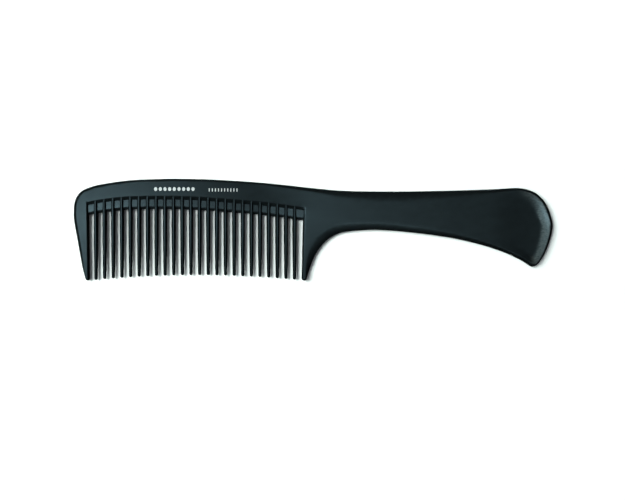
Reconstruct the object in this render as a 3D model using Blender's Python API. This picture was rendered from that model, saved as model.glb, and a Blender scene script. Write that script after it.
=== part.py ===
"""A handle comb: one plastic moulding, modelled as its named regions.

The comb lies flat. +X runs to the end of the handle, +Y to the comb's back, and the teeth point to -Y.
Z goes up from the face that the comb rests on. The origin is under the middle of the comb's box.
Sizes are in millimetres, and MM turns them into Blender's metres when a mesh is made.
Both faces are alike, mirrored about the parting plane at half the thickness.
"""

import math

import bmesh
import bpy

MM = 0.001

# The whole moulding
THICKNESS = 5.0
PARTING = THICKNESS / 2
SPLIT = 0.3  # clearance between neighbouring regions
EDGE_ROUND = 1.2  # radius round the rim
EDGE_SEGMENTS = 3
CURVE_STEPS = 3  # points on each span of an outline's curve
SAME_PLACE = 0.001  # places closer than this are one place

# The teeth
TOOTH_COUNT = 24
PITCH = 4.0
FIRST_TOOTH_X = -100.65
ROOT_WIDTH = 2.0
TIP_WIDTH = 1.5
RIDGE_ROOT_WIDTH = 0.5  # the flat along the top of a tooth
RIDGE_TIP_WIDTH = 0.3
RIDGE_ROOT_THICKNESS = 4.7
RIDGE_TIP_THICKNESS = 1.8
LAND_THICKNESS = 0.5  # the tooth's side at the parting plane
TIP_ARC_X = -54.0  # the tips lie on a wide arc
TIP_ARC_TOP = -21.1
TIP_ARC_RADIUS = 494.0
TIP_ROUND_STEPS = 3

# The thin web that joins the roots of the teeth
WEB_HEIGHT = 6.0
WEB_THICKNESS = 2.2
POCKET_DRAFT = 1.2  # how far the pocket's end wall leans
POCKET_SIDE_FLOOR = 0.2  # the floor is this much wider than the gap, on each side
POCKET_SIDE_FACE = 0.67  # and the mouth this much
CUTTER_MARGIN = 1.0  # how far a cutter runs out past the surfaces it opens

# The end guards
FRONT_GUARD_INNER = (-103.8, -103.5)  # x at the root and at the tip
REAR_GUARD_INNER = (-4.75, -5.4)
GUARD_TIP_Y = -22.4
GUARD_TIP_THICKNESS = 4.6

# The lines where the moulding is divided: a point on the line, and the direction it runs in
GUARD_ROOT_POINT = (-111.0, 7.7)
GUARD_ROOT_RUN = (1.0, -0.0263)
SPINE_END_X = -3.0
REAR_GUARD_POINT = (-4.5, 4.5)
REAR_GUARD_RUN = (13.5, -7.8)
NECK_END_X = 52.0

# The dish for the thumb, on both faces of the paddle
DISH_CENTRE = (103.3, 2.6)
DISH_LONG = 40.0  # its gentle run towards the neck
DISH_SHORT = 5.6  # its steep run up to the rim
DISH_HALF_WIDTH = 14.0
DISH_DEPTH = 1.1

# Curves of the moulding, as the points that they pass through
FRONT_EDGE = [(-105.6, -22.6), (-106.9, -17.8), (-108.5, -9.2), (-110.0, -0.8), (-110.9, 4.7)]
FRONT_CORNER = [(-111.0, 8.3), (-110.5, 13.2), (-108.2, 17.2), (-104.3, 19.4), (-98.0, 21.1)]
BACK = [(-85.0, 22.9), (-72.0, 23.5), (-60.0, 23.6), (-44.2, 23.1), (-21.9, 21.6), (0.8, 19.15)]
HANDLE_TOP = [(14.7, 18.0), (37.0, 17.7), (59.2, 18.0), (81.5, 18.7), (92.6, 19.3)]
PADDLE_END = [(96.3, 19.2), (100.0, 18.4), (103.95, 16.4), (107.65, 12.4), (109.8, 7.4), (111.0, 2.0)]
PADDLE_CORNER = [(109.9, -4.2), (107.7, -10.2), (105.1, -14.7), (103.3, -16.5), (101.7, -17.1)]
HANDLE_BOTTOM = [(100.2, -16.7), (96.3, -14.2), (88.9, -10.7), (77.8, -7.0), (62.9, -3.6), (44.4, -1.2)]
NECK_BOTTOM = [(29.6, -0.1), (18.4, -0.6), (11.7, -1.75), (6.2, -5.0), (1.95, -10.1), (-0.8, -15.8)]
REAR_EDGE = [(-2.9, -22.3)]
FACE_EDGE = [(-104.9, 12.7), (-98.3, 13.95), (-86.2, 15.3), (-70.0, 15.65), (-54.2, 15.25), (-38.4, 14.15),
             (-22.2, 12.7), (-4.0, 10.25)]

PLASTIC_GREY = (0.028, 0.036, 0.039, 1.0)
PLASTIC_ROUGHNESS = 0.45


def remove_everything():
    for obj in list(bpy.data.objects):
        bpy.data.objects.remove(obj)


def plastic(name):
    """The satin black carbon-filled plastic of the moulding."""
    material = bpy.data.materials.new(name)
    material.use_nodes = True
    shader = material.node_tree.nodes["Principled BSDF"]
    shader.inputs["Base Color"].default_value = PLASTIC_GREY
    shader.inputs["Roughness"].default_value = PLASTIC_ROUGHNESS
    shader.inputs["Metallic"].default_value = 0.0
    return material


def make_object(name, bm, material):
    bmesh.ops.recalc_face_normals(bm, faces=bm.faces)
    mesh = bpy.data.meshes.new(name)
    bm.to_mesh(mesh)
    bm.free()
    mesh.materials.append(material)
    mesh.shade_smooth()
    mesh.set_sharp_from_angle(angle=math.radians(35))
    obj = bpy.data.objects.new(name, mesh)
    bpy.context.scene.collection.objects.link(obj)
    return obj


# ---------------------------------------------------------------- curves in the plane of the comb

def smooth_line(points, steps=CURVE_STEPS):
    """A Catmull-Rom curve through the points, with `steps` stretches on each span."""
    first = (2 * points[0][0] - points[1][0], 2 * points[0][1] - points[1][1])
    last = (2 * points[-1][0] - points[-2][0], 2 * points[-1][1] - points[-2][1])
    ends = [first, *points, last]
    line = []
    for a, b, c, d in zip(ends, ends[1:], ends[2:], ends[3:]):
        for step in range(steps):
            t = step / steps
            line.append(tuple(
                b[i] + 0.5 * t * (c[i] - a[i] + t * (2 * a[i] - 5 * b[i] + 4 * c[i] - d[i]
                                                     + t * (3 * (b[i] - c[i]) + d[i] - a[i])))
                for i in range(2)))
    line.append(points[-1])
    return line


FACE_EDGE_LINE = smooth_line(FACE_EDGE, 8)


def face_edge_y(x):
    """The height of the back's lower face edge at x, which is also where the pockets start."""
    for (x0, y0), (x1, y1) in zip(FACE_EDGE_LINE, FACE_EDGE_LINE[1:]):
        if x <= x1:
            break
    return y0 + (y1 - y0) * (x - x0) / (x1 - x0)


def web_bottom_y(x):
    return face_edge_y(x) - WEB_HEIGHT


def tooth_x(number):
    """The centre line of tooth 1 to 24."""
    return FIRST_TOOTH_X + PITCH * (number - 1)


def tooth_tip_y(x):
    return TIP_ARC_TOP - (x - TIP_ARC_X) ** 2 / (2 * TIP_ARC_RADIUS)


def guard_tip(inner_x, outer, middle_y):
    """The round end of a guard, from its inner side to its outer side, as a half circle."""
    radius = abs(outer[0] - inner_x) / 2
    middle_x = (outer[0] + inner_x) / 2
    side = 1 if inner_x > outer[0] else -1
    return [(middle_x + side * radius * math.cos(a), middle_y - radius * math.sin(a))
            for a in (math.pi * i / 6 for i in range(7))]


def silhouette():
    """The outline of the moulding without its teeth, clockwise, as (x, y, rounded) points."""
    outer = smooth_line(FRONT_EDGE + FRONT_CORNER + BACK + HANDLE_TOP + PADDLE_END
                        + PADDLE_CORNER + HANDLE_BOTTOM + NECK_BOTTOM + REAR_EDGE)
    rear_tip = guard_tip(REAR_GUARD_INNER[1], outer[-1], GUARD_TIP_Y)
    front_tip = guard_tip(FRONT_GUARD_INNER[1], outer[0], GUARD_TIP_Y)
    root_line = [(x, web_bottom_y(x))
                 for x in [REAR_GUARD_INNER[0], *map(tooth_x, range(TOOTH_COUNT, 0, -1)), FRONT_GUARD_INNER[0]]]
    inner = rear_tip[::-1][1:] + root_line + front_tip[:-1]
    return [(x, y, True) for x, y in outer] + [(x, y, False) for x, y in inner]


def left_of_line(x, y, point, run):
    """How far a place is to the left of the line through `point` that runs along `run`."""
    return (run[0] * (y - point[1]) - run[1] * (x - point[0])) / math.hypot(*run)


def clipped(outline, point, run, gap=0.0):
    """The part of an outline to the left of a line, kept `gap` clear of it."""
    kept = []
    for (x0, y0, rounded0), (x1, y1, rounded1) in zip(outline, outline[1:] + outline[:1]):
        before = left_of_line(x0, y0, point, run) - gap
        after = left_of_line(x1, y1, point, run) - gap
        if before >= 0:
            kept.append((x0, y0, rounded0))
        if (before >= 0) != (after >= 0):
            share = before / (before - after)
            on_rim = rounded0 and rounded1
            kept.append((x0 + share * (x1 - x0), y0 + share * (y1 - y0), on_rim))
    return kept


# ---------------------------------------------------------------- solids

def slab(name, outline, material, cuts=()):
    """A plate of full thickness on an outline. Its rim is rounded, apart from the edges on the `cuts`."""
    bm = bmesh.new()
    bottom = [bm.verts.new((x * MM, y * MM, 0.0)) for x, y, _ in outline]
    base = bm.faces.new(bottom)
    extruded = bmesh.ops.extrude_face_region(bm, geom=[base])["geom"]
    top = [v for v in extruded if isinstance(v, bmesh.types.BMVert)]
    bmesh.ops.translate(bm, verts=top, vec=(0, 0, THICKNESS * MM))
    on_rim = {(round(x * MM, 7), round(y * MM, 7)) for x, y, rounded in outline if rounded}

    def on_cut(a, b):
        for point, run in cuts:
            start, end = (left_of_line(c.x / MM, c.y / MM, point, run) for c in (a, b))
            if abs(start - end) < SAME_PLACE and abs(start) < 2 * SPLIT:
                return True
        return False

    def rim_edge(edge):
        a, b = (v.co for v in edge.verts)
        level = abs(a.z - b.z) < SAME_PLACE * MM
        ends_on_rim = all((round(c.x, 7), round(c.y, 7)) in on_rim for c in (a, b))
        return level and ends_on_rim and not on_cut(a, b)

    bmesh.ops.bevel(bm, geom=[e for e in bm.edges if rim_edge(e)], offset=EDGE_ROUND * MM,
                    segments=EDGE_SEGMENTS, profile=0.5, affect="EDGES", clamp_overlap=False)
    bmesh.ops.remove_doubles(bm, verts=bm.verts, dist=SAME_PLACE * MM)
    return make_object(name, bm, material)


def skin(bm, rings):
    """A closed solid through rings of points that have the same number of points."""
    loops = [[bm.verts.new([c * MM for c in point]) for point in ring] for ring in rings]
    for near, far in zip(loops, loops[1:]):
        for i in range(len(near)):
            j = (i + 1) % len(near)
            bm.faces.new((near[i], near[j], far[j], far[i]))
    bm.faces.new(loops[0][::-1])
    bm.faces.new(loops[-1])


def tooth_section(x, y, width, ridge_width, ridge_thickness, land_thickness):
    """The eight corners across a tooth: a flat ridge on each face, sloping flanks and a narrow side land."""
    w, r = width / 2, ridge_width / 2
    h, e = ridge_thickness / 2, land_thickness / 2
    corners = [(w, -e), (w, e), (r, h), (-r, h), (-w, e), (-w, -e), (-r, -h), (r, -h)]
    return [(x + u, y, PARTING + v) for u, v in corners]


def tooth(name, x, material):
    """One free tooth, from its root line down to its round tip."""
    root_y = web_bottom_y(x) - SPLIT
    tip_y = tooth_tip_y(x)
    tip_radius = TIP_WIDTH / 2
    straight = root_y - tip_y - tip_radius
    stations = [(share * straight, 1.0) for share in (0.0, 0.3, 0.6, 0.85, 1.0)]
    for step in range(1, TIP_ROUND_STEPS + 1):
        angle = 0.5 * math.pi * step / (TIP_ROUND_STEPS + 0.5)
        stations.append((straight + tip_radius * math.sin(angle), math.cos(angle)))
    rings = []
    for down, narrowing in stations:
        share = min(1.0, down / straight)
        width = ROOT_WIDTH + (TIP_WIDTH - ROOT_WIDTH) * share ** 2
        ridge_width = RIDGE_ROOT_WIDTH + (RIDGE_TIP_WIDTH - RIDGE_ROOT_WIDTH) * share
        ridge_thickness = RIDGE_ROOT_THICKNESS + (RIDGE_TIP_THICKNESS - RIDGE_ROOT_THICKNESS) * share ** 1.5
        rings.append(tooth_section(x, root_y - down, width * narrowing, ridge_width * narrowing,
                                   ridge_thickness * narrowing, LAND_THICKNESS * narrowing))
    bm = bmesh.new()
    skin(bm, rings)
    return make_object(name, bm, material)


def gap_sides():
    """The sides of the 25 gaps at the root line, as (left x, right x)."""
    half = ROOT_WIDTH / 2
    centres = [tooth_x(n) for n in range(1, TOOTH_COUNT + 1)]
    lefts = [FRONT_GUARD_INNER[0]] + [x + half for x in centres]
    rights = [x - half for x in centres] + [REAR_GUARD_INNER[0]]
    return list(zip(lefts, rights))


def pocket(bm, left, right, face):
    """The recess above one gap's web, on the upper (face 1) or lower (face -1) side."""
    above = PARTING + CUTTER_MARGIN
    lean = (above - WEB_THICKNESS / 2) / (PARTING - WEB_THICKNESS / 2)
    rings = []
    for depth, share in ((WEB_THICKNESS / 2, 0.0), (above, lean)):
        side = POCKET_SIDE_FLOOR + share * (POCKET_SIDE_FACE - POCKET_SIDE_FLOOR)
        x0, x1 = left - side, right + side
        end = POCKET_DRAFT * (share - 1)
        bottom = WEB_HEIGHT + CUTTER_MARGIN
        corners = [(x0, face_edge_y(x0) - bottom), (x1, face_edge_y(x1) - bottom),
                   (x1, face_edge_y(x1) + end), (x0, face_edge_y(x0) + end)]
        rings.append([(x, y, PARTING + face * depth) for x, y in corners])
    skin(bm, rings)


def cutter(obj, name, bm):
    """Cuts the closed shapes in bm out of an object, by a guide that is not itself part of the comb."""
    tool = make_object(name, bm, obj.data.materials[0])
    tool.hide_render = True
    tool.display_type = "WIRE"
    cut = obj.modifiers.new(name, "BOOLEAN")
    cut.operation = "DIFFERENCE"
    cut.solver = "EXACT"
    cut.object = tool


def cut_pockets(spine):
    bm = bmesh.new()
    for left, right in gap_sides():
        for face in (1, -1):
            pocket(bm, left, right, face)
    cutter(spine, "pocket_cutter", bm)


def cut_dish(handle):
    """A shallow dish on each face: a long gentle run from the neck side and a short steep rise to the rim."""
    bm = bmesh.new()
    for face in (1, -1):
        ball = bmesh.ops.create_uvsphere(bm, u_segments=32, v_segments=12, radius=1.0)["verts"]
        for v in ball:
            long_side = DISH_LONG if v.co.x < 0 else DISH_SHORT
            v.co.x = (DISH_CENTRE[0] + v.co.x * long_side) * MM
            v.co.y = (DISH_CENTRE[1] + v.co.y * DISH_HALF_WIDTH) * MM
            v.co.z = (PARTING + face * PARTING + v.co.z * DISH_DEPTH) * MM
    cutter(handle, "dish_cutter", bm)


def thin_towards_tip(guard):
    """A guard thins from full thickness at its root line to its tip, evenly about the parting plane."""
    root_y = GUARD_ROOT_POINT[1]
    for v in guard.data.vertices:
        share = min(1.0, max(0.0, (root_y - v.co.y / MM) / (root_y - GUARD_TIP_Y)))
        scale = 1 + share * (GUARD_TIP_THICKNESS / THICKNESS - 1)
        v.co.z = PARTING * MM + (v.co.z - PARTING * MM) * scale


def build():
    remove_everything()
    back_plastic = plastic("back_plastic")
    grip_plastic = plastic("grip_plastic")
    tooth_plastic = plastic("tooth_plastic")
    whole = silhouette()

    guard_root = (GUARD_ROOT_POINT, GUARD_ROOT_RUN)
    below_guard_root = (GUARD_ROOT_POINT, (-GUARD_ROOT_RUN[0], -GUARD_ROOT_RUN[1]))
    left_of_spine_end = ((SPINE_END_X, 0.0), (0.0, 1.0))
    right_of_spine_end = ((SPINE_END_X, 0.0), (0.0, -1.0))
    above_rear_guard = (REAR_GUARD_POINT, REAR_GUARD_RUN)
    below_rear_guard = (REAR_GUARD_POINT, (-REAR_GUARD_RUN[0], -REAR_GUARD_RUN[1]))
    left_of_neck_end = ((NECK_END_X, 0.0), (0.0, 1.0))
    right_of_neck_end = ((NECK_END_X, 0.0), (0.0, -1.0))
    left_of_first_tooth = ((tooth_x(1), 0.0), (0.0, 1.0))
    right_of_last_tooth = ((tooth_x(TOOTH_COUNT) + PITCH / 2, 0.0), (0.0, -1.0))

    spine = slab("spine", clipped(clipped(whole, *left_of_spine_end), *guard_root), back_plastic,
                 [guard_root, left_of_spine_end])
    cut_pockets(spine)

    front = clipped(clipped(whole, *left_of_first_tooth), *below_guard_root, gap=SPLIT)
    thin_towards_tip(slab("front_guard", front, back_plastic, [guard_root]))
    rear = clipped(clipped(whole, *right_of_last_tooth), *below_guard_root, gap=SPLIT)
    rear = clipped(rear, *below_rear_guard)
    thin_towards_tip(slab("rear_guard", rear, back_plastic, [guard_root, below_rear_guard]))

    neck = clipped(clipped(whole, *right_of_spine_end, gap=SPLIT), *left_of_neck_end)
    neck = clipped(neck, *above_rear_guard, gap=SPLIT)
    slab("neck", neck, grip_plastic, [right_of_spine_end, left_of_neck_end, above_rear_guard])

    handle = slab("handle", clipped(whole, *right_of_neck_end, gap=SPLIT), grip_plastic, [right_of_neck_end])
    cut_dish(handle)

    for number in range(1, TOOTH_COUNT + 1):
        tooth(f"tooth_{number:02d}", tooth_x(number), tooth_plastic)


build()
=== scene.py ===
"""The looks of the handle comb: a satin carbon-black moulding on a white table, seen from straight above.

Shapes are worked out in millimetres about the parting plane (height 0 is half the comb's thickness), and
MM turns them into metres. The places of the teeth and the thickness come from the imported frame. The outline
repeats the curves that the frame was drawn from, with the width of the rim's rounding as a third value.
"""
import math

import bmesh
import bpy
import numpy as np
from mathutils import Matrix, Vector, geometry


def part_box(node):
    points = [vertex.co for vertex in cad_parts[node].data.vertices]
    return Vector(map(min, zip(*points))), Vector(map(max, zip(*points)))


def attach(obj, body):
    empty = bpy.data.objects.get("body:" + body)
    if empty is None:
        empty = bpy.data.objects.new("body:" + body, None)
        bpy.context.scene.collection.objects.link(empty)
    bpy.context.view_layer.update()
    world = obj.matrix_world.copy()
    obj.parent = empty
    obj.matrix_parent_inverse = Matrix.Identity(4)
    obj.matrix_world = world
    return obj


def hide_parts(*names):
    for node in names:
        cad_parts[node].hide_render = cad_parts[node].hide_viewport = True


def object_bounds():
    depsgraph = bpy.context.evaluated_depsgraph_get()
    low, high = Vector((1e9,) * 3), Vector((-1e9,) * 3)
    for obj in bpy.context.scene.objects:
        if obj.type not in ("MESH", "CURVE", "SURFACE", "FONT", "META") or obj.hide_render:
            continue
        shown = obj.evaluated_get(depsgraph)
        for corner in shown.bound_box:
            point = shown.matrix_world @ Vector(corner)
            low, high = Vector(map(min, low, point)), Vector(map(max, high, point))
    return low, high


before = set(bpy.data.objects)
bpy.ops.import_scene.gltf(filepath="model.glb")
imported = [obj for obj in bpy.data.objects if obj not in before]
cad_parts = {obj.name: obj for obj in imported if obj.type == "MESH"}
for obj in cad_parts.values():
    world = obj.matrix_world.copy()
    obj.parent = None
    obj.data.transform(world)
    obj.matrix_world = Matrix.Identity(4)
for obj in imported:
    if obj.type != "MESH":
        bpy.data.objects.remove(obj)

MM = 0.001
CAD_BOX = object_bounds()
THICKNESS = (CAD_BOX[1][2] - CAD_BOX[0][2]) / MM
PARTING = CAD_BOX[0][2] / MM + THICKNESS / 2
HALF = THICKNESS / 2
TOOTH_NAMES = [f"tooth_{number:02d}" for number in range(1, 25)]
BODY_NODES = ("spine", "front_guard", "rear_guard", "neck", "handle")

# How finely curves and faces are drawn
OUTLINE_SPACING = 0.7
GUARD_SPACING = 1.2
TIP_ARC_STEPS = 12
WALL_POINTS = 200
FACE_SPACING = 1.8
DISH_SPACING = 0.8
DISH_SPACING_FROM_X = 84.0
LOOKUP_SPACING = 1.0
RIM_LOOKUP_SPACING = 0.3
SAME_POINT = 1e-5
CLEAR_OF_EDGE = 0.5  # the points inside the face keep this far from its edge
CLEAR_OF_CREASES = 0.45
SHARP_ANGLE = math.radians(32)

# The rim's rounding: how far it drops below the face, and the slight draft of the wall under it
RIM_DROP = 2.2
RIM_DROP_LIMIT = 0.88  # the most that the rounding takes of the height there
RIM_CURVE = 1.18  # 1 gives a quarter ellipse, and more gives a rim that turns down sooner
WALL_DRAFT = 0.03

# A narrow rim has a crisper shape instead: each point's share of the way in and of the rounding's height
CRISP_RIM = ((0.26, 0.37), (0.5, 0.68), (0.73, 0.91), (0.86, 0.97), (0.94, 0.99), (1, 1))
CRISP_BELOW = 2.6  # rims narrower than this start to turn crisp
CRISP_AT = 1.7  # and at this width they are

# The profiles of the guards' inner flanks and of the wall over the tooth roots, from the parting plane up to
# the face. Each row is a share of the way in from the outline, and a share of the height.
FRONT_ROWS = ((0, 0), (0.05, 0.14), (0.3, 0.5), (0.55, 0.78), (0.75, 0.9), (0.9, 0.965), (0.97, 0.99), (1, 1))
REAR_ROWS = ((0, 0), (0.05, 0.14), (0.35, 0.56), (0.6, 0.95), (0.64, 0.96), (0.9, 0.99), (0.95, 0.996),
             (1, 1))
WALL_ROWS = ((0, 0), (0, 0.24), (0.2, 0.4), (0.4, 0.56), (0.6, 0.72), (0.82, 0.88), (0.95, 0.97), (1, 1))
ROW_WEAR = (0.8, 0.2, 0.1, 0.1, 0.2, 0.4, 0.7, 0.3)  # how far handling has polished each row

# The outline: x, y and the width of the rim's rounding
FRONT_EDGE = [(-105.6, -22.6, 0.8), (-106.9, -17.8, 1.2), (-108.5, -9.2, 1.6), (-110.0, -0.8, 1.7),
              (-110.9, 4.7, 1.7)]
FRONT_CORNER = [(-111.0, 8.3, 1.7), (-110.5, 13.2, 1.7), (-108.2, 17.2, 1.6), (-104.3, 19.4, 1.5),
                (-98.0, 21.1, 1.4)]
BACK = [(-85.0, 22.9, 1.2), (-72.0, 23.5, 1.2), (-60.0, 23.6, 1.2), (-44.2, 23.1, 1.2), (-21.9, 21.6, 1.3),
        (0.8, 19.15, 2.0)]
HANDLE_TOP = [(14.7, 18.0, 3.2), (37.0, 17.7, 4.4), (59.2, 18.0, 3.4), (81.5, 18.7, 2.0), (92.6, 19.3, 1.3)]
PADDLE_END = [(96.3, 19.2, 1.3), (100.0, 18.4, 1.5), (103.95, 16.4, 1.7), (107.65, 12.4, 1.9),
              (109.8, 7.4, 1.9), (111.0, 2.0, 1.9)]
PADDLE_CORNER = [(109.9, -4.2, 1.8), (107.7, -10.2, 1.6), (105.1, -14.7, 1.4), (103.3, -16.5, 1.2),
                 (101.7, -17.1, 1.2)]
HANDLE_BOTTOM = [(100.2, -16.7, 1.2), (96.3, -14.2, 1.2), (88.9, -10.7, 1.3), (77.8, -7.0, 1.7),
                 (62.9, -3.6, 2.4), (44.4, -1.2, 3.2)]
NECK_BOTTOM = [(29.6, -0.1, 3.6), (18.4, -0.6, 4.0), (11.7, -1.75, 4.2), (6.2, -5.0, 4.2), (1.95, -10.1, 3.8),
               (-0.8, -15.8, 2.6)]
REAR_EDGE = [(-2.9, -22.3, 0.8)]

# The lower edge of the back's face, over the tooth roots
FACE_EDGE = [(-104.9, 12.7), (-98.3, 13.95), (-86.2, 15.3), (-70.0, 15.65), (-54.2, 15.25), (-38.4, 14.15),
             (-22.2, 12.7), (-4.0, 10.25)]
FACE_EDGE_DRAFT = 2.0  # how far the wall under that edge and its fillet reach out over the web
WALL_FROM_GUARD = 0.15  # how far from a guard's corner that wall's first point is

# The end guards: x of the inner side at the root and at the tip, and the width of its flank
GUARD_TIP_Y = -22.4
FRONT_GUARD_INNER = (-103.8, -103.5)
REAR_GUARD_INNER = (-4.75, -5.4)
FRONT_FLANK = (1.05, 0.85)
REAR_FLANK = (1.15, 0.85)
GUARD_TIP_RIM = 0.8
GUARD_THINS_FROM_Y = -1.0
GUARD_TIP_HALF = 2.3
GUARD_END_X = 20.0  # nothing beyond this x belongs to a guard
MIDDLE_TOOTH_X = -54.0  # a flank before this x is the front guard's, and one after it the rear guard's

# The web that joins the tooth roots
WEB_HEIGHT = 6.0
WEB_LIP_HALF = 1.1
WEB_SLOPE = [(-104.0, 0.0), (-90.0, 0.01), (-74.0, 0.065), (-46.0, 0.075), (-26.0, 0.1), (-17.0, 0.02),
             (-8.0, -0.03)]  # x, and how steeply each face leans in towards the back there
WEB_LIP = 1.2  # how much of its height the lip takes
WEB_LIP_CURVE = 0.8
WEB_LIP_STEPS = (0.2, 0.45, 0.7, 0.88, 0.97)  # shares of the way down the lip
WEB_BURIED = 0.8  # how far its ends run into the back and the guards
WEB_RINGS = 120
WEB_WEAR = (0.1, 0.3, 0.2, 0.2, 0.3, 0.4, 0.6, 0.9, 0.6, 0.4, 0.3, 0.2, 0.2, 0.3, 0.1)  # round its section

# A tooth, as half widths and half thicknesses
TOOTH_ROOT_HALF = 1.03
TOOTH_TIP_HALF = 0.77
RIDGE_ROOT_HALF = 0.24
RIDGE_TIP_HALF = 0.1
RIDGE_ROOT_HEIGHT = 2.42
RIDGE_TIP_HEIGHT = 0.95
RIDGE_HEIGHT_CURVE = 1.3  # the curves say how late a tooth narrows and thins on its way down
TOOTH_WIDTH_CURVE = 2
RIDGE_ROUNDING = 0.06
RIDGE_ROUNDING_SHARE = 0.3  # the most that the rounding takes of a narrow ridge
TOOTH_BURIED = 0.6
TOOTH_STATIONS = 16
TIP_STEPS = 6
TIP_LEFT = 0.4  # the last ring is this share of a step short of the very tip, and a small flat closes it

# The back gets thinner from the tooth roots to its outer edge: x and half the thickness at that edge
BACK_EDGE_HEIGHT = [(-106.0, 2.4), (-95.0, 2.3), (-77.0, 2.12), (-60.0, 1.92), (-45.0, 1.67), (-30.0, 1.48),
                    (-22.0, 1.53), (-12.0, 1.88), (0.0, 2.28), (9.0, 2.5)]
BACK_RUN = 6.5  # the usual distance from the tooth roots to the outer edge of the face
BACK_RUN_LIMIT = 1.15  # where the back is wider, the thinning stops after this many runs

# The finger dish on both faces of the paddle: it deepens towards the end and stops at a lip along the rim
DISH_START_X = 82.0
DISH_FULL_X = 104.0
DISH_LIP_WIDTH = [(-17.0, 2.8), (-13.0, 3.0), (-9.3, 3.1), (-4.7, 3.4), (1.3, 3.9), (5.5, 4.2), (11.1, 4.8),
                  (15.3, 4.2), (19.0, 2.8)]  # y, and how far the lip reaches in from the rim there
LIP_CREST = 1.7  # how much of the lip is its steeper outer band
LIP_CREST_SLOPE = 0.37
LIP_SLOPE = 0.235
LIP_SOFTENS_FROM_Y = 6.0  # above this the lip no longer starts at a line but swells out of the dish's floor
LIP_IS_SOFT_AT_Y = 13.0
LIP_CREASE_FROM_X = 99.0
CREASE_TOLERANCE = 0.1

# The wear on that lip, and a painted highlight on it where it faces the light. The scuffing and the highlight
# reach further from the paddle's end at the top than at the bottom.
LIP_WEAR_AND_HIGHLIGHT_TOP_START_X = 93.0
LIP_WEAR_AND_HIGHLIGHT_BOTTOM_START_X = 99.5
LIP_WEAR_AND_HIGHLIGHT_BOTTOM_Y = -8.0
LIP_WEAR_AND_HIGHLIGHT_FULL_X = 102.0
SCUFF_AND_HIGHLIGHT_FADE = 0.3  # how far in from a crisp inner line the scuffing and the painted highlight fade
CREST_POLISH = 0.7
POLISH_FROM_Y = -10.0
POLISH_FULL_Y = -4.0

# The printed mark: a row of plain dots and a row of plain bars
DOTS = {"centre": (-64.2, 18.7), "count": 9, "pitch": 2.15, "size": (1.45, 1.75)}
BARS = {"centre": (-41.7, 18.3), "count": 10, "pitch": 1.42, "size": (0.42, 1.5)}
DOT_SIDES = 24
INK_HEIGHT = 0.02
INK_FULL = (0.44, 0.46, 0.46)
INK_THIN = (0.21, 0.23, 0.23)

# The plastic: a darker and a lighter tone, and how strongly each kind of piece mirrors
BODY_TONES = ((0.0022, 0.0029, 0.0032), (0.0031, 0.0041, 0.0045))
WEB_TONES = ((0.0023, 0.0028, 0.0031), (0.0033, 0.004, 0.0044))
BODY_SHINE = 0.2
TOOTH_SHINE = 0.13
WEB_SHINE = 0.24
SHEEN_TINT = (0.7, 0.95, 1.0, 1.0)
SPECK_LIFT = 2.2  # specks and rubbed edges are the lighter tone, this many times over
RUBBED_LIFT = 2.6
# a lighter grey for the paddle's lip: partly scuffing, partly a painted highlight where the lip faces the
# light
SCUFF_AND_HIGHLIGHT_GREY = (0.036, 0.041, 0.04)
WORN_SMOOTHER = 0.1  # how much roughness handling takes off
ALONG_THE_COMB = (1.0, 3.0, 3.0)  # flow marks and scratches are drawn out along X
GRAIN_STRENGTH = 0.12
GRAIN_DEPTH = 0.00003

# Noises, as scale, detail and, unless it is 0.5, roughness
FLOW = (90.0, 3.0)
PATCHES = (420.0, 4.0, 0.6)
SCRATCHES = (700.0, 4.0, 0.7)
SPECKS = (2600.0, 2.0)
GRAIN = (5200.0, 3.0, 0.6)
UNEVEN_INK = (2400.0, 3.0)

# What a noise turns into: from the first number to the second, it becomes the third to the fourth
FLOW_SHARE = (0.35, 0.65, 0.0, 1.0)
SPECK_SHARE = (0.62, 0.8, 0.0, 0.35)
RUBBED_SHARE = (0.45, 0.75, 0.1, 0.8)
# the lip's lighter grey, partly scuffing and partly a painted highlight, is mottled by scratches
SCUFF_AND_HIGHLIGHT_SHARE = (0.38, 0.62, 0.25, 1.15)
PLASTIC_ROUGHNESS = (0.3, 0.7, 0.35, 0.45)
THIN_INK_SHARE = (0.5, 0.8, 0.0, 0.6)
INK_ROUGHNESS = (0.3, 0.7, 0.55, 0.75)

# The plastic is duller towards the tips of the teeth and guards, but not on the handle. These are in metres.
DULL_AT_Y = -0.02
SHINY_AT_Y = 0.004
DULL_SHARE = 0.38
DULL_UP_TO_X = 0.004
HANDLE_FROM_X = 0.012

# The studio round it, in metres and watts
TABLE_HALF = 3.0
TABLE_GAP = 0.00002  # keeps the comb's underside and the table from coinciding
TABLE_WHITE = (0.9, 0.9, 0.9, 1.0)
TABLE_ROUGHNESS = 0.9
TABLE_SHINE = 0.1
GLOW_FROM = 0.13  # how far from the middle the table starts to glow
GLOW_FULL = 0.5  # and how far out it glows fully
WHITE = (1.0, 1.0, 1.0, 1.0)
BLACK = (0.0, 0.0, 0.0, 1.0)
BACKDROP_RADIUS = 2.5
BACKDROP_GLOW = 1.1
SOFTBOX_SIDE = 0.5
SHEEN_LIGHT = {"spot": (-0.26, -0.18, 0.82), "power": 11.8, "colour": (0.85, 1.02, 1.11)}
SHADOW_LIGHT = {"spot": (-0.49, 0.13, 0.8), "power": 14.2, "colour": (0.93, 1.04, 1.0)}
ROOM_GLOW = (0.01, 0.3)  # at the horizon and straight up
ROOM_COLOUR = (0.92, 1.0, 1.04, 1.0)

# The camera looks straight down from above the teeth, and its shift brings the whole comb into the frame
CAMERA_SPOT = (-0.0293, -0.0094, 0.405)
CAMERA_LENS = 50.0
CAMERA_SENSOR = 36.0
CAMERA_SHIFT = 0.1
CAMERA_CLIP = 0.01


# ---------------------------------------------------------------- curves

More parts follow.
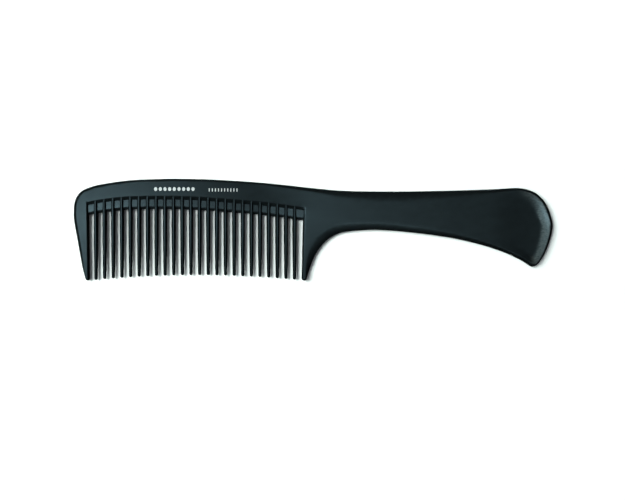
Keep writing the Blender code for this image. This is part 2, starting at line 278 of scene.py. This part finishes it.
def smooth_line(points, spacing):
    """A Catmull-Rom curve through the points, with its own points about `spacing` apart."""
    rows = [np.array(p, float) for p in points]
    rows = [2 * rows[0] - rows[1], *rows, 2 * rows[-1] - rows[-2]]
    line = []
    for a, b, c, d in zip(rows, rows[1:], rows[2:], rows[3:]):
        steps = max(2, round(float(np.linalg.norm((c - b)[:2])) / spacing))
        for step in range(steps):
            t = step / steps
            line.append(b + 0.5 * t * (c - a + t * (2 * a - 5 * b + 4 * c - d + t * (3 * (b - c) + d - a))))
    line.append(rows[-2])
    return line


FACE_EDGE_LINE = np.array(smooth_line(FACE_EDGE, LOOKUP_SPACING))
BACK_EDGE_LINE = np.array(smooth_line(BACK_EDGE_HEIGHT, LOOKUP_SPACING))
LIP_LINE = np.array(DISH_LIP_WIDTH)
PADDLE_RIM = np.array(smooth_line(HANDLE_TOP + PADDLE_END + PADDLE_CORNER + HANDLE_BOTTOM,
                                  RIM_LOOKUP_SPACING))


def face_edge_y(x):
    """The y of the lower edge of the back's face."""
    return float(np.interp(x, FACE_EDGE_LINE[:, 0], FACE_EDGE_LINE[:, 1]))


def clamped(share):
    return min(1.0, max(0.0, share))


def smoothstep(share):
    t = clamped(share)
    return t * t * (3 - 2 * t)


def between(start, end, share):
    return start + share * (end - start)


def guard_inner(side, flank, y, root_y):
    """The x of a guard's inner side at y, and the width of its flank there."""
    share = clamped((root_y - y) / (root_y - GUARD_TIP_Y))
    return between(*side, share), between(*flank, share)


def back_edge_height(x):
    """Half the comb's thickness at the outer edge of the back's face."""
    return float(np.interp(x, BACK_EDGE_LINE[:, 0], BACK_EDGE_LINE[:, 1]))


def from_paddle_rim(x, y):
    """How far in a place is from the edge of the paddle's face."""
    distances = np.hypot(PADDLE_RIM[:, 0] - x, PADDLE_RIM[:, 1] - y)
    nearest = int(np.argmin(distances))
    return max(0.0, float(distances[nearest] - PADDLE_RIM[nearest, 2]))


def lip_width(y):
    return float(np.interp(y, LIP_LINE[:, 0], LIP_LINE[:, 1]))


def lip_softness(y):
    """0 where the lip starts at a crisp line, and 1 where it swells out of the dish's floor."""
    return smoothstep((y - LIP_SOFTENS_FROM_Y) / (LIP_IS_SOFT_AT_Y - LIP_SOFTENS_FROM_Y))


def dish(x, y):
    """How deep the finger dish is."""
    if x < DISH_START_X:
        return 0.0
    width = lip_width(y)
    across = min(width, from_paddle_rim(x, y))
    crisp = LIP_SLOPE * across + (LIP_CREST_SLOPE - LIP_SLOPE) * min(LIP_CREST, across)
    soft = LIP_CREST_SLOPE * (across - across ** 2 / (2 * width))
    lip = between(crisp, soft, lip_softness(y))
    return lip * smoothstep((x - DISH_START_X) / (DISH_FULL_X - DISH_START_X))


def lip_wear_and_highlight(x, y):
    """How far handling has polished the lip's crest, and how much of the lip's lighter grey each place gets:
    partly scuffing, partly a painted highlight where the lip faces the light.
    """
    if x < LIP_WEAR_AND_HIGHLIGHT_TOP_START_X:
        return 0.0, 0.0
    start = between(LIP_WEAR_AND_HIGHLIGHT_TOP_START_X, LIP_WEAR_AND_HIGHLIGHT_BOTTOM_START_X, smoothstep(y / LIP_WEAR_AND_HIGHLIGHT_BOTTOM_Y))
    near_end = smoothstep((x - start) / (LIP_WEAR_AND_HIGHLIGHT_FULL_X - start))
    reach = from_paddle_rim(x, y)
    on_crest = smoothstep(2 - reach / LIP_CREST)  # it fades out over a second crest's width
    above_bottom = smoothstep((y - POLISH_FROM_Y) / (POLISH_FULL_Y - POLISH_FROM_Y))
    width = lip_width(y)
    fade = between(SCUFF_AND_HIGHLIGHT_FADE, width, lip_softness(y))
    return CREST_POLISH * on_crest * above_bottom * near_end, smoothstep((width - reach) / fade) * near_end


def face_height(x, y):
    """Half the comb's thickness at a place on its face."""
    height = HALF - dish(x, y)
    if x < BACK_EDGE_HEIGHT[-1][0]:
        above_roots = max(0.0, y - face_edge_y(x)) / BACK_RUN
        height -= (HALF - back_edge_height(x)) * min(BACK_RUN_LIMIT, above_roots)
    if x < GUARD_END_X:
        share = clamped((GUARD_THINS_FROM_Y - y) / (GUARD_THINS_FROM_Y - GUARD_TIP_Y))
        height -= (HALF - GUARD_TIP_HALF) * share ** 2
    return height


# ---------------------------------------------------------------- the body

def tip_arc(start, end, start_kind, end_kind):
    """The half circle round a guard's tip, without its ends, as points of the same form as body_outline's."""
    middle = (start + end) / 2
    radius = abs(start[0] - end[0]) / 2
    side = 1 if start[0] > end[0] else -1
    points = []
    for step in range(1, TIP_ARC_STEPS):
        share = step / TIP_ARC_STEPS
        angle = math.pi * share
        kind = between(start_kind, end_kind, smoothstep(share))
        points.append((middle[0] + side * radius * math.cos(angle), middle[1] - radius * math.sin(angle),
                       GUARD_TIP_RIM, kind))
    return points


def guard_side(side, flank, start_y, end_y):
    """A guard's inner side from one y to another."""
    count = max(2, round(abs(start_y - end_y) / GUARD_SPACING))
    root_y = max(start_y, end_y)
    points = []
    for step in range(count + 1):
        y = start_y + (end_y - start_y) * step / count
        x, width = guard_inner(side, flank, y, root_y)
        points.append((x, y, width, 0.0))
    return points


def body_outline():
    """The outline at the parting plane, clockwise. Each point has x, y, the inset to the face's edge and its
    kind: 1 for the rounded rim, 0 for a guard's flank and -1 for the wall over the teeth."""
    outer = smooth_line(FRONT_EDGE + FRONT_CORNER + BACK + HANDLE_TOP + PADDLE_END + PADDLE_CORNER
                        + HANDLE_BOTTOM + NECK_BOTTOM + REAR_EDGE, OUTLINE_SPACING)
    rear_x = REAR_GUARD_INNER[0]
    front_x = FRONT_GUARD_INNER[0]
    rear_y = face_edge_y(rear_x) - FACE_EDGE_DRAFT
    front_y = face_edge_y(front_x) - FACE_EDGE_DRAFT
    rear_side = guard_side(REAR_GUARD_INNER, REAR_FLANK, GUARD_TIP_Y, rear_y)
    front_side = guard_side(FRONT_GUARD_INNER, FRONT_FLANK, front_y, GUARD_TIP_Y)
    rear_tip = tip_arc(outer[-1][:2], np.array(rear_side[0][:2]), 1.0, 0.0)
    front_tip = tip_arc(np.array(front_side[-1][:2]), outer[0][:2], 0.0, 1.0)
    wall = [(x, face_edge_y(x) - FACE_EDGE_DRAFT, FACE_EDGE_DRAFT, -1.0)
            for x in np.linspace(rear_x - WALL_FROM_GUARD, front_x + WALL_FROM_GUARD, WALL_POINTS)]
    rounded = [(p[0], p[1], p[2], 1.0) for p in outer]
    return rounded + rear_tip + rear_side + wall + front_side + front_tip


def inward(points):
    """The direction in from each point of a clockwise line, square to it."""
    along = np.roll(points, -1, axis=0) - np.roll(points, 1, axis=0)
    along /= np.linalg.norm(along, axis=1)[:, None]
    return np.stack([along[:, 1], -along[:, 0]], axis=1)


def inset_vectors(loop):
    """The outline's points, and the way in from each to the edge of the face."""
    points = np.array([p[:2] for p in loop])
    vectors = inward(points) * np.array([p[2] for p in loop])[:, None]
    kinds = [p[3] for p in loop]
    for i, (before, here, after) in enumerate(zip([kinds[-1], *kinds], kinds, [*kinds[1:], kinds[0]])):
        if here == 0.0 and -1.0 in (before, after):  # the inner corner where a guard meets the wall
            away = 1 if points[i][0] > MIDDLE_TOOTH_X else -1
            vectors[i] = (away * loop[i][2], FACE_EDGE_DRAFT)
        elif here == 0.0:
            vectors[i][1] = 0.0
        elif here == -1.0:
            vectors[i] = (0.0, FACE_EDGE_DRAFT)
    return points, vectors


def profile_rows(kind, rows, width, height):
    """The points up one profile as (share of the inset, height)."""
    drop = min(RIM_DROP, RIM_DROP_LIMIT * height)
    crisp = smoothstep((CRISP_BELOW - width) / (CRISP_BELOW - CRISP_AT))
    rounded = [(0.0, 0.0), (WALL_DRAFT, height - drop)]
    for step, (across, up) in enumerate(CRISP_RIM, start=1):
        angle = 0.5 * math.pi * step / len(CRISP_RIM)
        round_across = 1 - max(0.0, math.cos(angle)) ** RIM_CURVE
        round_up = math.sin(angle) ** RIM_CURVE
        rounded.append((WALL_DRAFT + (1 - WALL_DRAFT) * between(round_across, across, crisp),
                        height - drop + drop * between(round_up, up, crisp)))
    straight = [(s, t * height) for s, t in rows]
    share = max(0.0, kind)
    return [(share * r[0] + (1 - share) * s[0], share * r[1] + (1 - share) * s[1])
            for r, s in zip(rounded, straight)]


def inside(points, polygon):
    """Which points lie inside a polygon, by counting the sides crossed to their right."""
    x, y = points[:, 0:1], points[:, 1:2]
    x0, y0 = polygon[:, 0], polygon[:, 1]
    x1, y1 = np.roll(x0, -1), np.roll(y0, -1)
    spans = (y0 > y) != (y1 > y)
    with np.errstate(divide="ignore", invalid="ignore"):
        crossing = x0 + (y - y0) / (y1 - y0) * (x1 - x0)
    return (spans & (x < crossing)).sum(axis=1) % 2 == 1


def face_points(ring):
    """Points spread over the face inside its edge, closer together in the dish."""
    low, high = ring.min(axis=0), ring.max(axis=0)
    grids = []
    for spacing, x0, x1 in ((FACE_SPACING, low[0], DISH_SPACING_FROM_X),
                            (DISH_SPACING, DISH_SPACING_FROM_X, high[0])):
        xs = np.arange(x0 + spacing / 2, x1, spacing)
        ys = np.arange(low[1] + spacing / 2, high[1], spacing * math.sqrt(0.75))
        for row, y in enumerate(ys):
            shift = spacing / 2 if row % 2 else 0.0
            grids.append(np.stack([xs + shift, np.full(len(xs), y)], axis=1))
    points = np.concatenate(grids)
    points = points[inside(points, ring)]
    clear = np.array([np.min(np.hypot(ring[:, 0] - x, ring[:, 1] - y)) for x, y in points])
    creases = lip_creases()
    away = np.array([np.min(np.hypot(creases[:, 0] - x, creases[:, 1] - y)) for x, y in points])
    return np.concatenate([points[(clear > CLEAR_OF_EDGE) & (away > CLEAR_OF_CREASES)], creases])


def lip_creases():
    """Points along the lines where the lip's slope changes: its inner line and the foot of its crest."""
    every_second = slice(2, -2, 2)
    ways_in = inward(PADDLE_RIM[:, :2])
    points = []
    for (x, y, rim), (dx, dy) in zip(PADDLE_RIM[every_second], ways_in[every_second]):
        for reach in (LIP_CREST, lip_width(y)):
            spot = (x + (reach + rim) * dx, y + (reach + rim) * dy)
            if x > LIP_CREASE_FROM_X and abs(from_paddle_rim(*spot) - reach) < CREASE_TOLERANCE:
                points.append(spot)
    return np.array(points)


def profile_rings(loop):
    """The rings of the body's upper half, from the parting plane up to the edge of the face."""
    points, vectors = inset_vectors(loop)
    rings = [[] for _ in ROW_WEAR]
    for (x, y), (dx, dy), (_, _, width, kind) in zip(points, vectors, loop):
        side_rows = WALL_ROWS if kind < 0 else FRONT_ROWS if x < MIDDLE_TOOTH_X else REAR_ROWS
        profile = profile_rows(kind, side_rows, width, face_height(x + dx, y + dy))
        for ring, (share, height) in zip(rings, profile):
            ring.append((x + share * dx, y + share * dy, height))
    return rings


def face_triangles(edge, middle):
    """The triangles of the face, with its points numbered along its edge and then over its middle."""
    flat = [Vector(p) for p in (*edge, *middle)]
    outline = list(range(len(edge)))[::-1]
    only_inside = 1
    cut = geometry.delaunay_2d_cdt(flat, [], [outline], only_inside, SAME_POINT)
    triangles, sources = cut[2], cut[3]
    return [[sources[i][0] for i in triangle] for triangle in triangles]


def between_rings(size, count):
    """The four-sided faces between rings of `size` points each, with the points numbered ring by ring."""
    faces = []
    for row in range(count - 1):
        for i in range(size):
            k = (i + 1) % size
            faces.append([row * size + i, row * size + k, (row + 1) * size + k, (row + 1) * size + i])
    return faces


def comb_body(material):
    """The back, guards, neck and handle as one closed moulding, whose two halves mirror each other."""
    rings = profile_rings(body_outline())
    count = len(rings[0])
    before_face = (len(rings) - 1) * count
    edge = np.array([p[:2] for p in rings[-1]])
    middle = face_points(edge)
    faces = [[i + before_face for i in triangle] for triangle in face_triangles(edge, middle)]
    faces += between_rings(count, len(rings))
    places = [p for ring in rings for p in ring] + [(x, y, face_height(x, y)) for x, y in middle]
    # The lip's lighter grey is partly scuffing and partly a painted highlight where the lip faces the light.
    polish, scuff_and_highlight = zip(*(lip_wear_and_highlight(x, y) for x, y in (*edge, *middle)))
    wear = [w for w in ROW_WEAR for _ in range(count)] + list(polish[count:])
    scuff_and_highlight = [0.0] * before_face + list(scuff_and_highlight)

    # The lower half has points of its own, except for the ring at the parting plane, which both halves share
    below = [i if i < count else i + len(places) - count for i in range(len(places))]
    faces += [[below[i] for i in face[::-1]] for face in faces]
    wear += wear[count:]
    scuff_and_highlight += scuff_and_highlight[count:]
    places += [(x, y, -z) for x, y, z in places[count:]]
    return mesh_piece("comb_body", places, faces, wear, material, scuff_and_highlight)


# ---------------------------------------------------------------- the web and the teeth

def web_section(x):
    """The web's closed outline across at x, as (y, height) with its round lip at the bottom."""
    top = face_edge_y(x) - FACE_EDGE_DRAFT + WEB_BURIED
    bottom = face_edge_y(x) - WEB_HEIGHT
    slope = np.interp(x, *zip(*WEB_SLOPE))
    top_half = WEB_LIP_HALF - slope * (top - bottom - WEB_LIP)
    upper = [(top, top_half), (bottom + WEB_LIP, WEB_LIP_HALF)]
    for share in WEB_LIP_STEPS:
        upper.append((bottom + WEB_LIP * (1 - share), WEB_LIP_HALF * (1 - share) ** WEB_LIP_CURVE))
    return upper + [(bottom, 0.0)] + [(y, -z) for y, z in upper[::-1]]


def root_web(material):
    """The thin web between the tooth roots, in one length from guard to guard."""
    start = FRONT_GUARD_INNER[0] - WEB_BURIED
    end = REAR_GUARD_INNER[0] + WEB_BURIED
    rings = [[(x, y, z) for y, z in web_section(x)] for x in np.linspace(start, end, WEB_RINGS)]
    places, faces = skin(rings)
    return mesh_piece("root_web", places, faces, WEB_WEAR * WEB_RINGS, material)


def skin(rings):
    """The points and faces of a closed solid through rings that have the same number of points."""
    size = len(rings[0])
    first_end = list(range(size))[::-1]
    last_end = [(len(rings) - 1) * size + i for i in range(size)]
    faces = [first_end, *between_rings(size, len(rings)), last_end]
    return [p for ring in rings for p in ring], faces


def tooth_quarter(half, ridge, height):
    """A quarter of the way round a tooth, from its side to the top of its ridge, as (half width, half
    thickness, wear)."""
    soft = min(RIDGE_ROUNDING, RIDGE_ROUNDING_SHARE * ridge)
    return [(half, 0.0, 0.5), (0.99 * half, 0.2 * height, 0.2), (0.96 * half, 0.3 * height, 0.1),
            (ridge + soft + 0.45 * (half - ridge - soft), 0.65 * height, 0.05),
            (ridge + soft, height - 1.5 * soft, 0.4), (ridge, height - 0.25 * soft, 0.8),
            (ridge - soft, height, 0.4)]


def tooth(name, material):
    """One tooth, from inside the back's lower wall down to its round tip."""
    low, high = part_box(name)
    x = (low[0] + high[0]) / 2 / MM
    tip_y = low[1] / MM
    root_y = high[1] / MM
    top = face_edge_y(x) + TOOTH_BURIED
    straight = tip_y + TOOTH_TIP_HALF
    levels = [(top, 1.0)]
    for station in range(TOOTH_STATIONS + 1):
        levels.append((root_y + (straight - root_y) * station / TOOTH_STATIONS, 1.0))
    for step in range(1, TIP_STEPS + 1):
        angle = 0.5 * math.pi * step / (TIP_STEPS + TIP_LEFT)
        levels.append((straight - TOOTH_TIP_HALF * math.sin(angle), math.cos(angle)))
    rings = []
    wear = []
    for y, narrowing in levels:
        share = clamped((root_y - y) / (root_y - straight))
        half = between(TOOTH_ROOT_HALF, TOOTH_TIP_HALF, share ** TOOTH_WIDTH_CURVE)
        ridge = between(RIDGE_ROOT_HALF, RIDGE_TIP_HALF, share)
        height = between(RIDGE_ROOT_HEIGHT, RIDGE_TIP_HEIGHT, share ** RIDGE_HEIGHT_CURVE)
        quarter = tooth_quarter(half * narrowing, ridge * narrowing, height * narrowing)
        left_up = [(-u, v, w) for u, v, w in quarter[::-1]]
        left_down = [(-u, -v, w) for u, v, w in quarter[1:]]
        right_down = [(u, -v, w) for u, v, w in quarter[:0:-1]]
        around = quarter + left_up + left_down + right_down
        rings.append([(x + u, y, v) for u, v, _ in around])
        wear += [w for _, _, w in around]
    places, faces = skin(rings)
    return mesh_piece(name + "_moulded", places, faces, wear, material)


def printed_row(name, row, outline, material):
    """A row of the same small flat ink shape on the face of the back."""
    places = []
    faces = []
    for i in range(row["count"]):
        x = row["centre"][0] + (i - (row["count"] - 1) / 2) * row["pitch"]
        shape = [(x + u * row["size"][0] / 2, row["centre"][1] + v * row["size"][1] / 2) for u, v in outline]
        rings = [[(a, b, face_height(a, b) + rise) for a, b in shape] for rise in (-INK_HEIGHT, INK_HEIGHT)]
        more, sides = skin(rings)
        faces += [[k + len(places) for k in side] for side in sides]
        places += more
    return mesh_piece(name, places, faces, [0.0] * len(places), material)


def mesh_piece(name, places, faces, wear, material, scuff_and_highlight=None):
    """A piece in the frame's own place, from points in millimetres about the parting plane."""
    bm = bmesh.new()
    worn = bm.verts.layers.float.new("wear")
    # The scuff layer carries the lip's lighter grey, partly scuffing and partly a painted highlight.
    scuff_and_highlight_layer = bm.verts.layers.float.new("scuff_and_highlight")
    for (x, y, z), wear_here, scuff_and_highlight_here in zip(places, wear, scuff_and_highlight or [0.0] * len(places)):
        vert = bm.verts.new((x * MM, y * MM, (z + PARTING) * MM))
        vert[worn] = wear_here
        vert[scuff_and_highlight_layer] = scuff_and_highlight_here
    bm.verts.ensure_lookup_table()
    for face in faces:
        bm.faces.new([bm.verts[i] for i in face])
    bmesh.ops.recalc_face_normals(bm, faces=bm.faces)
    mesh = bpy.data.meshes.new(name)
    bm.to_mesh(mesh)
    bm.free()
    mesh.materials.append(material)
    mesh.shade_smooth()
    mesh.set_sharp_from_angle(angle=SHARP_ANGLE)
    piece = bpy.data.objects.new(name, mesh)
    bpy.context.scene.collection.objects.link(piece)
    shading = piece.modifiers.new("even_shading", "WEIGHTED_NORMAL")
    shading.keep_sharp = True
    return piece


# ---------------------------------------------------------------- materials

def new_material(name):
    """A new material, its nodes, its links and its shader."""
    material = bpy.data.materials.new(name)
    material.use_nodes = True
    nodes = material.node_tree.nodes
    return material, nodes, material.node_tree.links, nodes["Principled BSDF"]


def noise(nodes, links, place, scale, detail, roughness=0.5):
    """A noise's value at each place."""
    node = nodes.new("ShaderNodeTexNoise")
    node.inputs["Scale"].default_value = scale
    node.inputs["Detail"].default_value = detail
    node.inputs["Roughness"].default_value = roughness
    links.new(place, node.inputs["Vector"])
    return node.outputs["Fac"]


def painted(nodes, name):
    """The value that mesh_piece gave each point under this name."""
    node = nodes.new("ShaderNodeAttribute")
    node.attribute_name = name
    return node.outputs["Fac"]


def ranged(nodes, links, value, low, high, new_low, new_high):
    """The value stretched from one range to another, and held at the ends of the new one."""
    node = nodes.new("ShaderNodeMapRange")
    for name, amount in (("From Min", low), ("From Max", high), ("To Min", new_low), ("To Max", new_high)):
        node.inputs[name].default_value = amount
    links.new(value, node.inputs["Value"])
    return node.outputs["Result"]


def mixed(nodes, links, factor, first, second):
    """A mix of two colours, each a plain one or a node's."""
    node = nodes.new("ShaderNodeMix")
    node.data_type = "RGBA"
    links.new(factor, node.inputs["Factor"])
    for socket, colour in ((node.inputs["A"], first), (node.inputs["B"], second)):
        if isinstance(colour, tuple):
            socket.default_value = (*colour, 1.0)
        else:
            links.new(colour, socket)
    return node.outputs["Result"]


def maths(nodes, links, operation, first, second):
    """A sum on two values, each a plain one or a node's."""
    node = nodes.new("ShaderNodeMath")
    node.operation = operation
    for socket, value in zip(node.inputs, (first, second)):
        if isinstance(value, float):
            socket.default_value = value
        else:
            links.new(value, socket)
    return node.outputs["Value"]


def plastic_tone(nodes, links, place, patches, worn, tones):
    """Faint flow marks and specks, lighter where an edge is rubbed, and a lighter grey on the paddle's lip
    that is partly scuffing and partly a painted highlight where the lip faces the light.
    """
    dark, light = tones
    drawn_out = nodes.new("ShaderNodeMapping")
    drawn_out.inputs["Scale"].default_value = ALONG_THE_COMB
    links.new(place, drawn_out.inputs["Vector"])
    flow = noise(nodes, links, drawn_out.outputs["Vector"], *FLOW)
    specks = noise(nodes, links, place, *SPECKS)
    scratches = noise(nodes, links, drawn_out.outputs["Vector"], *SCRATCHES)

    tone = mixed(nodes, links, ranged(nodes, links, flow, *FLOW_SHARE), dark, light)
    speck_tone = tuple(SPECK_LIFT * c for c in light)
    tone = mixed(nodes, links, ranged(nodes, links, specks, *SPECK_SHARE), tone, speck_tone)
    rubbed = maths(nodes, links, "MULTIPLY", worn, ranged(nodes, links, patches, *RUBBED_SHARE))
    tone = mixed(nodes, links, rubbed, tone, tuple(RUBBED_LIFT * c for c in light))
    # The paddle's lip turns a lighter grey: partly scuffing, partly a painted highlight where it faces the
    # light.
    scuff_and_highlight_layer = painted(nodes, "scuff_and_highlight")
    scuff_and_highlight = maths(nodes, links, "MULTIPLY", scuff_and_highlight_layer, ranged(nodes, links, scratches, *SCUFF_AND_HIGHLIGHT_SHARE))
    return mixed(nodes, links, scuff_and_highlight, tone, SCUFF_AND_HIGHLIGHT_GREY)


def dulling(nodes, links, place):
    """The share of the shine that is left: less towards the tips, and all of it on the handle."""
    across = nodes.new("ShaderNodeSeparateXYZ")
    links.new(place, across.inputs["Vector"])
    dulled = ranged(nodes, links, across.outputs["Y"], DULL_AT_Y, SHINY_AT_Y, DULL_SHARE, 1.0)
    handle = ranged(nodes, links, across.outputs["X"], DULL_UP_TO_X, HANDLE_FROM_X, 0.0, 1.0)
    return maths(nodes, links, "MAXIMUM", dulled, handle)


def carbon_plastic(name, tones, shine):
    """Satin carbon-filled plastic with a fine grain, smoother where handling has polished it."""
    material, nodes, links, shader = new_material(name)
    place = nodes.new("ShaderNodeTexCoord").outputs["Object"]
    worn = painted(nodes, "wear")
    patches = noise(nodes, links, place, *PATCHES)
    links.new(plastic_tone(nodes, links, place, patches, worn, tones), shader.inputs["Base Color"])

    rough = ranged(nodes, links, patches, *PLASTIC_ROUGHNESS)
    rough = maths(nodes, links, "SUBTRACT", rough, maths(nodes, links, "MULTIPLY", worn, WORN_SMOOTHER))
    links.new(rough, shader.inputs["Roughness"])
    level = maths(nodes, links, "MULTIPLY", dulling(nodes, links, place), shine)
    links.new(level, shader.inputs["Specular IOR Level"])
    shader.inputs["Specular Tint"].default_value = SHEEN_TINT

    bump = nodes.new("ShaderNodeBump")
    bump.inputs["Strength"].default_value = GRAIN_STRENGTH
    bump.inputs["Distance"].default_value = GRAIN_DEPTH
    links.new(noise(nodes, links, place, *GRAIN), bump.inputs["Height"])
    links.new(bump.outputs["Normal"], shader.inputs["Normal"])
    return material


def printed_ink():
    """Matt white ink, a little thin and uneven where it was pressed on."""
    material, nodes, links, shader = new_material("printed_ink")
    place = nodes.new("ShaderNodeTexCoord").outputs["Object"]
    uneven = noise(nodes, links, place, *UNEVEN_INK)
    tone = mixed(nodes, links, ranged(nodes, links, uneven, *THIN_INK_SHARE), INK_FULL, INK_THIN)
    links.new(tone, shader.inputs["Base Color"])
    links.new(ranged(nodes, links, uneven, *INK_ROUGHNESS), shader.inputs["Roughness"])
    return material


def table_white():
    """White paper that glows more the further it is from the comb, where the lamps don't reach."""
    material, nodes, links, shader = new_material("table_white")
    shader.inputs["Base Color"].default_value = TABLE_WHITE
    shader.inputs["Roughness"].default_value = TABLE_ROUGHNESS
    shader.inputs["Specular IOR Level"].default_value = TABLE_SHINE
    distance = nodes.new("ShaderNodeVectorMath")
    distance.operation = "LENGTH"
    links.new(nodes.new("ShaderNodeTexCoord").outputs["Object"], distance.inputs[0])
    glow = ranged(nodes, links, distance.outputs["Value"], GLOW_FROM, GLOW_FULL, 0.0, 1.0)
    shader.inputs["Emission Color"].default_value = WHITE
    links.new(glow, shader.inputs["Emission Strength"])
    return material


def backdrop_white():
    """A plain glowing white for the studio's far wall."""
    material, _, _, shader = new_material("backdrop_white")
    shader.inputs["Base Color"].default_value = BLACK
    shader.inputs["Emission Color"].default_value = WHITE
    shader.inputs["Emission Strength"].default_value = BACKDROP_GLOW
    return material


# ---------------------------------------------------------------- table, light and camera

def studio_piece(name, bm, material):
    """A piece of the studio, from its finished bmesh."""
    mesh = bpy.data.meshes.new(name)
    bm.to_mesh(mesh)
    bm.free()
    mesh.materials.append(material)
    piece = bpy.data.objects.new(name, mesh)
    bpy.context.scene.collection.objects.link(piece)
    return piece


def table():
    """The white table that the comb lies on."""
    bm = bmesh.new()
    bmesh.ops.create_grid(bm, x_segments=1, y_segments=1, size=TABLE_HALF)
    floor = studio_piece("table", bm, table_white())
    floor.location.z = CAD_BOX[0][2] - TABLE_GAP
    floor.visible_glossy = False  # the comb's rim and flanks mirror the dark room, not the white table


def backdrop():
    """A white dome round the table. It fills the view behind the comb and doesn't light or mirror in it."""
    bm = bmesh.new()
    bmesh.ops.create_uvsphere(bm, u_segments=48, v_segments=24, radius=BACKDROP_RADIUS)
    dome = studio_piece("backdrop", bm, backdrop_white())
    dome.visible_diffuse = False
    dome.visible_glossy = False
    dome.visible_shadow = False


def softbox(name, spot, power, colour):
    """A square area light that looks at the middle of the comb."""
    lamp = bpy.data.lights.new(name, "AREA")
    lamp.shape = "SQUARE"
    lamp.size = SOFTBOX_SIDE
    lamp.energy = power
    lamp.color = colour
    light = bpy.data.objects.new(name, lamp)
    light.location = spot
    light.rotation_euler = (-Vector(spot)).to_track_quat("-Z", "Y").to_euler()
    bpy.context.scene.collection.objects.link(light)
    return light


def lights():
    """One light is only seen mirrored, as the sheen. The other is never mirrored and throws the shadows."""
    sheen = softbox("sheen_softbox", **SHEEN_LIGHT)
    sheen.visible_diffuse = False
    shadow_key = softbox("shadow_softbox", **SHADOW_LIGHT)
    shadow_key.visible_glossy = False


def room():
    """A dim room that is brighter overhead."""
    world = bpy.data.worlds.new("studio")
    world.use_nodes = True
    nodes, links = world.node_tree.nodes, world.node_tree.links
    direction = nodes.new("ShaderNodeSeparateXYZ")
    links.new(nodes.new("ShaderNodeTexCoord").outputs["Generated"], direction.inputs["Vector"])
    strength = ranged(nodes, links, direction.outputs["Z"], 0.0, 1.0, *ROOM_GLOW)
    links.new(strength, nodes["Background"].inputs["Strength"])
    nodes["Background"].inputs["Color"].default_value = ROOM_COLOUR
    bpy.context.scene.world = world


def camera():
    """The camera, with the view transform that the lights were balanced for."""
    lens = bpy.data.cameras.new("camera")
    lens.lens = CAMERA_LENS
    lens.sensor_width = CAMERA_SENSOR
    lens.shift_x = CAMERA_SHIFT
    lens.clip_start = CAMERA_CLIP
    eye = bpy.data.objects.new("camera", lens)
    eye.location = CAMERA_SPOT
    bpy.context.scene.collection.objects.link(eye)
    bpy.context.scene.camera = eye
    bpy.context.scene.view_settings.view_transform = "Standard"


def build():
    """Every piece of the comb, the studio round it and the camera."""
    body_plastic = carbon_plastic("body_plastic", BODY_TONES, BODY_SHINE)
    tooth_plastic = carbon_plastic("tooth_plastic", BODY_TONES, TOOTH_SHINE)
    web_plastic = carbon_plastic("web_plastic", WEB_TONES, WEB_SHINE)
    ink = printed_ink()

    body = comb_body(body_plastic)
    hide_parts(*BODY_NODES)
    pieces = [body, root_web(web_plastic)]
    for name in TOOTH_NAMES:
        piece = tooth(name, tooth_plastic)
        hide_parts(name)
        pieces.append(piece)
    for piece in pieces:
        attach(piece, "root")

    angles = np.linspace(0, 2 * math.pi, DOT_SIDES, endpoint=False)
    round_dot = [(math.cos(angle), math.sin(angle)) for angle in angles]
    bar = [(-1, -1), (1, -1), (1, 1), (-1, 1)]
    dots = printed_row("printed_dots", DOTS, round_dot, ink)
    bars = printed_row("printed_bars", BARS, bar, ink)
    for piece in (dots, bars):
        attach(piece, "root")

    table()
    backdrop()
    lights()
    room()
    camera()


build()
